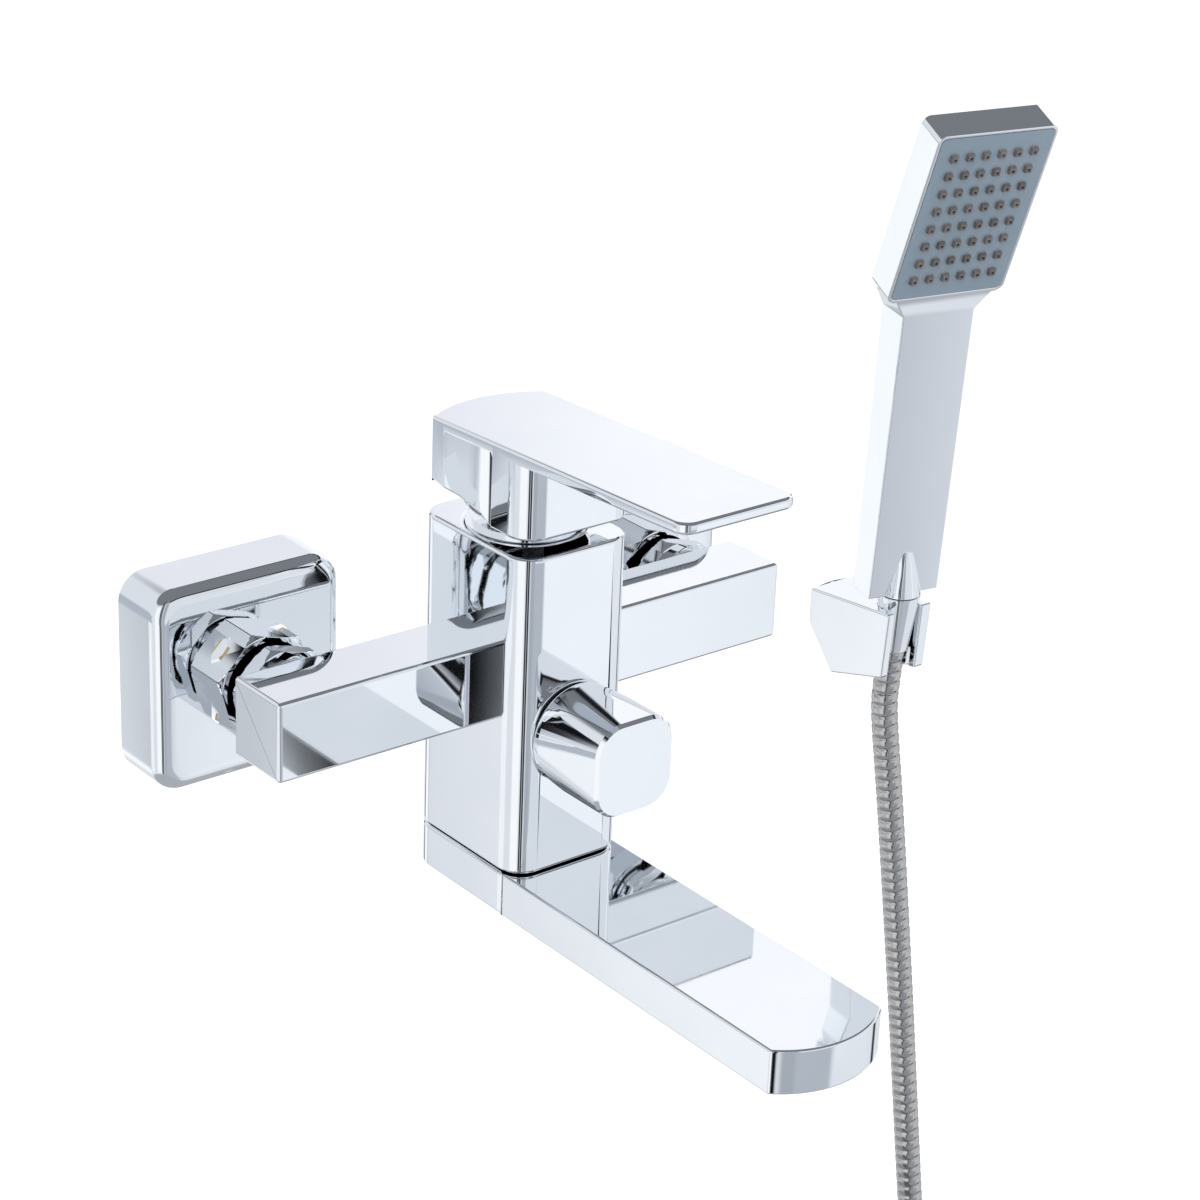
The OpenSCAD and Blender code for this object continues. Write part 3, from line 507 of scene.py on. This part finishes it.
@dataclass
class Studio:
    """Pale floor, soft light and the surround that the chrome mirrors."""

    floor_z: float = -0.62
    floor_side: float = 60.0
    surround_r: float = 6.0
    rings: int = 120
    columns: int = 288
    base: Colour = (0.76, 0.785, 0.83)
    panels: tuple[Panel, ...] = (
        # white boards behind the mixer, for its level faces
        Panel(141, 12, 76, 50, (0.84, 0.845, 0.90), 8),
        Panel(118, 14, 50, 50, (1.0, 1.01, 1.05), 7),
        # upright boards low on the left, for the upright left faces
        Panel(-125, -26, 30, 30, (0.93, 0.945, 0.985), 9),
        Panel(-136, -11, 60, 20, (0.46, 0.50, 0.56), 6),
        Panel(-164, -22, 20, 34, (1.0, 1.02, 1.05), 6),
        Panel(-147, -23, 3, 30, (0.52, 0.55, 0.59), 4),
        # brighter board low on the right, for the front faces
        Panel(54, -16, 46, 28, (0.91, 0.94, 0.985), 6),
        Panel(64, -16, 42, 28, (0.80, 0.83, 0.875), 9),
        # grey-blue dusk in front, for faces turned a little to the left
        Panel(6, -38, 40, 40, (0.46, 0.495, 0.55), 7),
        # dark ceiling above the boards, with a black line at its foot for the edges
        Panel(0, 68, 720, 58, (0.19, 0.20, 0.22), 7),
        Panel(60, 37, 170, 7, (0.012, 0.012, 0.014), 3),
        # narrow dark gap in front on the left, with a white board and dusk beside it
        Panel(-66, -5, 30, 76, (1.0, 1.01, 1.03), 8),
        Panel(-39, -5, 14, 110, (0.006, 0.006, 0.007), 3),
        Panel(-39, -5, 2.4, 110, (0.5, 0.52, 0.55), 1.5),
        Panel(-20, -5, 16, 90, (0.40, 0.43, 0.48), 6),
        # thin dark uprights at the far right and the far left
        Panel(95, -14, 7, 50, (0.03, 0.03, 0.034), 4),
        Panel(-178, -10, 8, 50, (0.05, 0.052, 0.06), 4),
        # the floor under the mixer
        Panel(0, -68, 720, 46, (0.42, 0.435, 0.465), 8),
        Panel(80, -46, 60, 7, (0.03, 0.03, 0.034), 4),
    )

    def build(self) -> None:
        """Make the world, the floor, the lights and the surround."""
        self._world()
        self._floor()
        self._surround()
        self._light("key_box", (-1.6, -1.8, 2.2), 1.6, 60.0)
        self._light("fill_box", (2.0, -1.6, 1.0), 1.8, 26.0)
        bpy.context.scene.view_settings.view_transform = "Standard"

    def _world(self) -> None:
        """Plain white world."""
        world = bpy.data.worlds.new("white_room")
        world.use_nodes = True
        shade = world.node_tree.nodes["Background"]
        shade.inputs["Color"].default_value = (1.0, 1.0, 1.0, 1)
        shade.inputs["Strength"].default_value = 1.02
        bpy.context.scene.world = world

    def _floor(self) -> None:
        """Pale floor far under the mixer."""
        mesh = bmesh.new()
        bmesh.ops.create_grid(mesh, x_segments=1, y_segments=1, size=self.floor_side / 2)
        floor = new_piece("floor", mesh)
        floor.location.z = self.floor_z
        paint = NodeFinish("pale_floor")
        paint.tint(paint.noise(2.0), (0.93, 0.93, 0.93), (0.95, 0.95, 0.95))
        paint.shader.inputs["Roughness"].default_value = 0.9
        paint.shader.inputs["Specular IOR Level"].default_value = 0.1
        floor.data.materials.append(paint.material)
        floor.visible_glossy = False

    def _light(self, name: str, place: tuple[float, float, float], size: float,
               power: float) -> None:
        """Add a soft box that lights the dull surfaces and points at the mixer."""
        data = bpy.data.lights.new(name, "AREA")
        data.shape = "SQUARE"
        data.size = size
        data.energy = power
        lamp = bpy.data.objects.new(name, data)
        lamp.location = place
        lamp.rotation_euler = (-Vector(place)).to_track_quat("-Z", "Y").to_euler()
        lamp.visible_glossy = False
        lamp.visible_camera = False
        bpy.context.scene.collection.objects.link(lamp)

    def _tone(self, azimuth: float, elevation: float) -> Colour:
        """Light that comes from a direction of the surround."""
        tone = Vector(self.base)
        for panel in self.panels:
            tone = tone.lerp(Vector(panel.tone), panel.share(azimuth, elevation))
        return tuple(tone)

    def _surround(self) -> None:
        """Ball of soft panels that only reflections see."""
        mesh = bmesh.new()
        bmesh.ops.create_uvsphere(mesh, u_segments=self.columns, v_segments=self.rings,
                                  radius=self.surround_r)
        layer = mesh.verts.layers.float_color.new("tone")
        for v in mesh.verts:
            way = v.co.normalized()
            azimuth = math.degrees(math.atan2(way.x, -way.y))
            elevation = math.degrees(math.asin(max(-1.0, min(1.0, way.z))))
            v[layer] = (*self._tone(azimuth, elevation), 1.0)
        ball = new_piece("soft_surround", mesh)
        paint = bpy.data.materials.new("soft_surround")
        paint.use_nodes = True
        tree = paint.node_tree
        tree.nodes.clear()
        tone = tree.nodes.new("ShaderNodeVertexColor")
        tone.layer_name = "tone"
        glow = tree.nodes.new("ShaderNodeEmission")
        out = tree.nodes.new("ShaderNodeOutputMaterial")
        tree.links.new(tone.outputs["Color"], glow.inputs["Color"])
        tree.links.new(glow.outputs["Emission"], out.inputs["Surface"])
        ball.data.materials.append(paint)
        for face in ball.data.polygons:
            face.use_smooth = True
        ball.visible_camera = False
        ball.visible_diffuse = False
        ball.visible_transmission = False
        ball.visible_volume_scatter = False
        ball.visible_shadow = False


@dataclass(frozen=True)
class SoftenedNode:
    """A node shown with rounded edges."""

    node: str
    body: Body
    slot: Slot
    radius: float

    def build(self, frame: dict, finishes: FinishRack) -> bpy.types.Object:
        """Make the softened piece, dress it and let it ride on its body."""
        piece = softened(frame, self.node, self.radius)
        finishes.dress(piece, self.slot)
        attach(piece, self.body.value)
        LOG.info("%s: %d faces", piece.name, len(piece.data.polygons))
        return piece


# ---------------------------------------------------------------- hose
@dataclass
class HandsetFrame:
    """Where the hand shower sits: its lower front edge, its turn and its lean."""

    at: Vector = field(default_factory=lambda: Vector((181.5, -35.7, -29.9)) * MM)
    yaw: float = -11.7
    lean: float = 4.4
    axis_y: float = 2.5 * MM
    handle_len: float = 104.6 * MM
    head_tilt: float = 16.9

    def matrix(self) -> Matrix:
        """Handle frame to the part's frame."""
        return (Matrix.Translation(self.at) @ Matrix.Rotation(math.radians(self.yaw), 4, "Z")
                @ Matrix.Rotation(math.radians(self.lean), 4, "X"))

    def head_matrix(self) -> Matrix:
        """Head frame to the part's frame."""
        return (self.matrix() @ Matrix.Translation((0, 0, self.handle_len))
                @ Matrix.Rotation(math.radians(self.head_tilt), 4, "X"))

    def cone_point(self, z: float) -> Vector:
        """A point on the cone's axis, z above the handle's lower end."""
        return self.matrix() @ Vector((0, self.axis_y, z))


@dataclass
class HoseAssembly:
    """Wound steel hose: it hangs from the hand shower and rests in a tied coil."""

    diameter: float = 9.6 * MM
    cone_len: float = 22 * MM
    exit_gap: float = 0.3 * MM
    coil_r: float = 60 * MM
    coil_pitch: float = 9.9 * MM
    coil_turns: int = 3
    coil_tail: float = 44 * MM
    coil_drop: float = 35 * MM
    coil_shift: float = 5.5 * MM
    run_steps: int = 12
    turn_steps: int = 72
    tail_steps: int = 6
    pitch: float = 4.4 * MM
    lead: float = 0.28
    sides: int = 20
    ends: tuple[SoftenedNode, ...] = (
        SoftenedNode("hose_end_nut", Body.HANDSET, Slot.CHROME, 0.6 * MM),
        SoftenedNode("coil_tie", Body.HANDSET, Slot.TIE, 0.4 * MM),
    )
    # points of the hanging run, in millimetres, the same as in the part's source
    run: tuple[tuple[float, float, float], ...] = (
        (182.9, -29.7, -66), (183.6, -29.4, -80), (190.5, -29.5, -121),
        (203.2, -29.5, -200), (215.6, -29.5, -281), (223.5, -29.5, -331),
    )

    def route(self, handset: HandsetFrame) -> list[Vector]:
        """Centreline of the hose from the cone nut to its free end."""
        run = [Vector(p) * MM for p in self.run]
        fall = run[-1] - run[-2]
        slope = math.atan2(fall.x, -fall.z)
        way = Vector((math.sin(slope), 0, -math.cos(slope)))
        middle = Vector((run[-1].x + self.coil_shift - self.coil_r * math.cos(slope),
                         run[-1].y,
                         run[-1].z - self.coil_drop - self.coil_r * math.sin(slope)))

        def turn_point(turn: float) -> Vector:
            """A point of the coil after a number of turns."""
            angle = slope - 2 * math.pi * turn
            return middle + Vector((self.coil_r * math.cos(angle), -self.coil_pitch * turn,
                                    self.coil_r * math.sin(angle)))

        start = handset.cone_point(-self.cone_len - self.exit_gap)
        hang = catmull([start, *run, turn_point(0)], self.run_steps)
        steps = self.turn_steps * self.coil_turns
        wound = [turn_point(i / self.turn_steps) for i in range(1, steps + 1)]
        tail = [turn_point(self.coil_turns) + way * self.coil_tail * k / self.tail_steps
                for k in range(1, self.tail_steps + 1)]
        return hang + wound + tail

    def build(self, frame: dict, handset: HandsetFrame,
              finishes: FinishRack) -> bpy.types.Object:
        ends = [part.build(frame, finishes) for part in self.ends]
        path = self.route(handset)
        length = sum((b - a).length for a, b in zip(path, path[1:]))
        # hollow, shoulders and crest of one turn of the strip: its place along the
        # turn and its depth in millimetres
        profile = ((0.0, 0.62), (0.07, 0.18), (0.2, 0.0), (0.62, 0.0), (0.84, 0.14),
                   (0.93, 0.62))
        turns = int(length / self.pitch)
        pitch = length / turns
        stations = [(i + at) * pitch for i in range(turns) for at, _ in profile]
        depths = [depth for _ in range(turns) for _, depth in profile]
        stations.append(length)
        depths.append(profile[-1][1])
        mesh = bmesh.new()
        rings = []
        for (point, way), depth in zip(evenly(path, stations), depths):
            side = way.cross(Vector((0, 1, 0))).normalized()
            other = way.cross(side)
            ring = []
            for k in range(self.sides):
                angle = 2 * math.pi * k / self.sides
                lead = pitch * (k / self.sides - 0.5) * self.lead
                r = self.diameter / 2 - depth * MM
                ring.append(mesh.verts.new(point + way * lead * math.sin(angle)
                                           + side * r * math.cos(angle)
                                           + other * r * math.sin(angle)))
            rings.append(ring)
        for i, (low, high) in enumerate(zip(rings, rings[1:])):
            for k in range(self.sides):
                n = (k + 1) % self.sides
                face = mesh.faces.new((low[k], low[n], high[n], high[k]))
                face.smooth = True
                # faces deep in the hollows between turns get the near-black finish, which is
                # painted shade
                in_shaded_groove = i % len(profile) in (0, len(profile) - 1)
                face.material_index = 1 if in_shaded_groove else 0
        mesh.faces.new(list(reversed(rings[0])))
        mesh.faces.new(rings[-1])
        bmesh.ops.recalc_face_normals(mesh, faces=mesh.faces)
        hose = new_piece("hose_wound", mesh)
        finishes.dress(hose, Slot.HOSE)
        # second slot: the painted shade of the hose's grooves
        hose.data.materials.append(finishes.groove_shade)
        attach(hose, Body.HANDSET.value)
        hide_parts("hose_run", "hose_coil")
        LOG.info("hose_wound: %.3f m, %d turns of strip", length, turns)
        return hose


# ---------------------------------------------------------------- chrome pieces
@dataclass
class Castings:
    """The chrome bodies, with the edge radii that polishing leaves."""

    parts: tuple[SoftenedNode, ...] = (
        SoftenedNode("mixer_body", Body.FIXTURE, Slot.CHROME, 1.3 * MM),
        SoftenedNode("swivel_nut_left", Body.FIXTURE, Slot.CHROME, 0.35 * MM),
        SoftenedNode("swivel_nut_right", Body.FIXTURE, Slot.CHROME, 0.35 * MM),
        SoftenedNode("inlet_tail_left", Body.FIXTURE, Slot.CHROME, 0.35 * MM),
        SoftenedNode("inlet_tail_right", Body.FIXTURE, Slot.CHROME, 0.35 * MM),
        SoftenedNode("lever", Body.LEVER, Slot.CHROME, 1.2 * MM),
        SoftenedNode("diverter_knob", Body.DIVERTER, Slot.CHROME, 1.0 * MM),
        SoftenedNode("spout_hub", Body.SPOUT, Slot.CHROME, 1.0 * MM),
        SoftenedNode("spout_arm", Body.SPOUT, Slot.CHROME, 0.7 * MM),
        SoftenedNode("aerator_housing", Body.SPOUT, Slot.CHROME, 0.5 * MM),
        SoftenedNode("outlet_nipple", Body.FIXTURE, Slot.CHROME, 0.4 * MM),
        SoftenedNode("bracket_holder", Body.FIXTURE, Slot.CHROME, 0.8 * MM),
        SoftenedNode("handset_shell", Body.HANDSET, Slot.CHROME, 0.45 * MM),
        SoftenedNode("hose_cone_nut", Body.HANDSET, Slot.CHROME, 0.4 * MM),
    )

    def build(self, frame: dict, finishes: FinishRack) -> None:
        """Make each softened body."""
        for part in self.parts:
            part.build(frame, finishes)


@dataclass
class WallCovers:
    """Square wall covers, drawn from sheet with pillowed front edges."""

    nodes: tuple[str, ...] = ("cover_left", "cover_right")
    corner_r: float = 9 * MM
    edge_r: float = 4.5 * MM
    sheet: float = 1.6 * MM
    hole_r: float = 17.57 * MM
    front_step: float = 2 * MM
    corner_ease: float = 0.6
    corner_steps: int = 10
    edge_steps: int = 8

    def build(self, finishes: FinishRack) -> None:
        """Make both covers."""
        for node in self.nodes:
            low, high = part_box(node)
            middle = Vector(((low.x + high.x) / 2, 0, (low.z + high.z) / 2))
            mesh = bmesh.new()
            outside = self._skin(mesh, middle, (high.x - low.x) / 2, high.y - low.y,
                                 self.corner_r, self.edge_r)
            inside = self._skin(mesh, middle, (high.x - low.x) / 2 - self.sheet,
                                high.y - low.y - self.sheet, self.corner_r - self.sheet,
                                self.edge_r - self.sheet)
            for a, b in ((outside[0], inside[0]), (inside[-1], outside[-1])):
                self._join(mesh, a, b)
            bmesh.ops.recalc_face_normals(mesh, faces=mesh.faces)
            piece = new_piece(f"{node}_shell", mesh)
            for face in piece.data.polygons:
                face.use_smooth = True
            flatten_faces(piece)
            finishes.dress(piece, Slot.CHROME)
            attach(piece, Body.FIXTURE.value)
            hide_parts(node)
            LOG.info("%s: %d faces", piece.name, len(piece.data.polygons))

    def _outline(self, half: float, radius: float) -> list[tuple[float, float]]:
        """Points of a square with round corners, counted from the right side."""
        points = []
        for corner in range(4):
            turn = math.pi / 2 * corner
            for k in range(self.corner_steps + 1):
                a = math.pi / 2 * k / self.corner_steps
                x = half - radius + radius * math.cos(a)
                z = half - radius + radius * math.sin(a)
                points.append((x * math.cos(turn) - z * math.sin(turn),
                               x * math.sin(turn) + z * math.cos(turn)))
        return points

    def _skin(self, mesh: bmesh.types.BMesh, middle: Vector, half: float, depth: float,
              corner: float, edge: float) -> list[list[bmesh.types.BMVert]]:
        """Add one surface of the cover, from the wall to the rim of its hole.

        Args:
            mesh: the mesh to add to.
            middle: the cover's centre on the wall.
            half: half of the cover's side.
            depth: distance of the front from the wall.
            corner: radius of the square's corners.
            edge: radius of the front edges.

        Returns:
            The rings of vertices, from the wall to the hole.
        """
        levels = [(0.0, 0.0), (0.0, depth - edge)]
        for k in range(1, self.edge_steps + 1):
            a = math.pi / 2 * k / self.edge_steps
            levels.append((edge * (1 - math.cos(a)), depth - edge * (1 - math.sin(a))))
        rings = [[mesh.verts.new(middle + Vector((x, -y, z)))
                  for x, z in self._outline(half - inset,
                                            corner - inset * self.corner_ease)]
                 for inset, y in levels]
        flat = [middle + Vector((x, -depth, z))
                for x, z in self._outline(half - edge - self.front_step,
                                          corner - edge * self.corner_ease)]
        rings.append([mesh.verts.new(p) for p in flat])
        rings.append([mesh.verts.new(middle + Vector((0, -depth, 0))
                                     + (p - middle - Vector((0, -depth, 0))).normalized()
                                     * self.hole_r) for p in flat])
        for a, b in zip(rings, rings[1:]):
            self._join(mesh, a, b)
        return rings

    @staticmethod
    def _join(mesh: bmesh.types.BMesh, a: list, b: list) -> None:
        """Close the band between two rings."""
        for k in range(len(a)):
            n = (k + 1) % len(a)
            mesh.faces.new((a[k], a[n], b[n], b[k]))


@dataclass
class SprayFace:
    """Nozzles on the face plate of the hand shower."""

    head_l: float = 67 * MM
    head_start: float = 7 * MM
    columns: int = 6
    rows: int = 8
    pitch_x: float = 6 * MM
    pitch_z: float = 7 * MM
    nozzle: float = 2.6 * MM
    out: float = 1.4 * MM

    def build(self, handset: HandsetFrame, finishes: FinishRack) -> None:
        """Make one hollow square nozzle at each place, as one piece."""
        mesh = bmesh.new()
        place = handset.head_matrix()
        for i in range(self.columns):
            for j in range(self.rows):
                x = (i - (self.columns - 1) / 2) * self.pitch_x
                z = (self.head_start + self.head_l / 2
                     + (j - (self.rows - 1) / 2) * self.pitch_z)
                self._nozzle(mesh, place, x, z)
        bmesh.ops.recalc_face_normals(mesh, faces=mesh.faces)
        piece = new_piece("spray_nozzles", mesh)
        finishes.dress(piece, Slot.NOZZLES)
        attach(piece, Body.HANDSET.value)
        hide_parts("nozzle_mat")
        LOG.info("spray_nozzles: %d", self.columns * self.rows)

    def _nozzle(self, mesh: bmesh.types.BMesh, place: Matrix, x: float, z: float) -> None:
        """Add a tapered square tube, closed at its root and open at its tip."""
        # half width at each level and its distance before the plate's face
        levels = ((self.nozzle / 2, -1.2 * MM), (self.nozzle / 2, 0.0),
                  (self.nozzle * 0.46, self.out * 0.75), (self.nozzle * 0.4, self.out),
                  (self.nozzle * 0.2, self.out), (self.nozzle * 0.16, self.out * 0.2))
        rings = []
        for half, up in levels:
            corners = ((-half, -half), (half, -half), (half, half), (-half, half))
            rings.append([mesh.verts.new(place @ Vector((x + a, -up, z + b)))
                          for a, b in corners])
        for low, high in zip(rings, rings[1:]):
            for k in range(4):
                n = (k + 1) % 4
                mesh.faces.new((low[k], low[n], high[n], high[k]))
        mesh.faces.new(rings[0])
        mesh.faces.new(rings[-1])


def main() -> None:
    """Build the scene: camera and hose first, then every other piece."""
    logging.basicConfig(level=logging.INFO, format="%(name)s: %(message)s")
    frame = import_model()
    finishes = FinishRack()
    finishes.build()
    handset = HandsetFrame()
    ProductCamera().place()
    HoseAssembly().build(frame, handset, finishes)
    Studio().build()
    finishes.dress_nodes(frame)
    Castings().build(frame, finishes)
    WallCovers().build(finishes)
    SprayFace().build(handset, finishes)


if __name__ == "__main__":
    main()
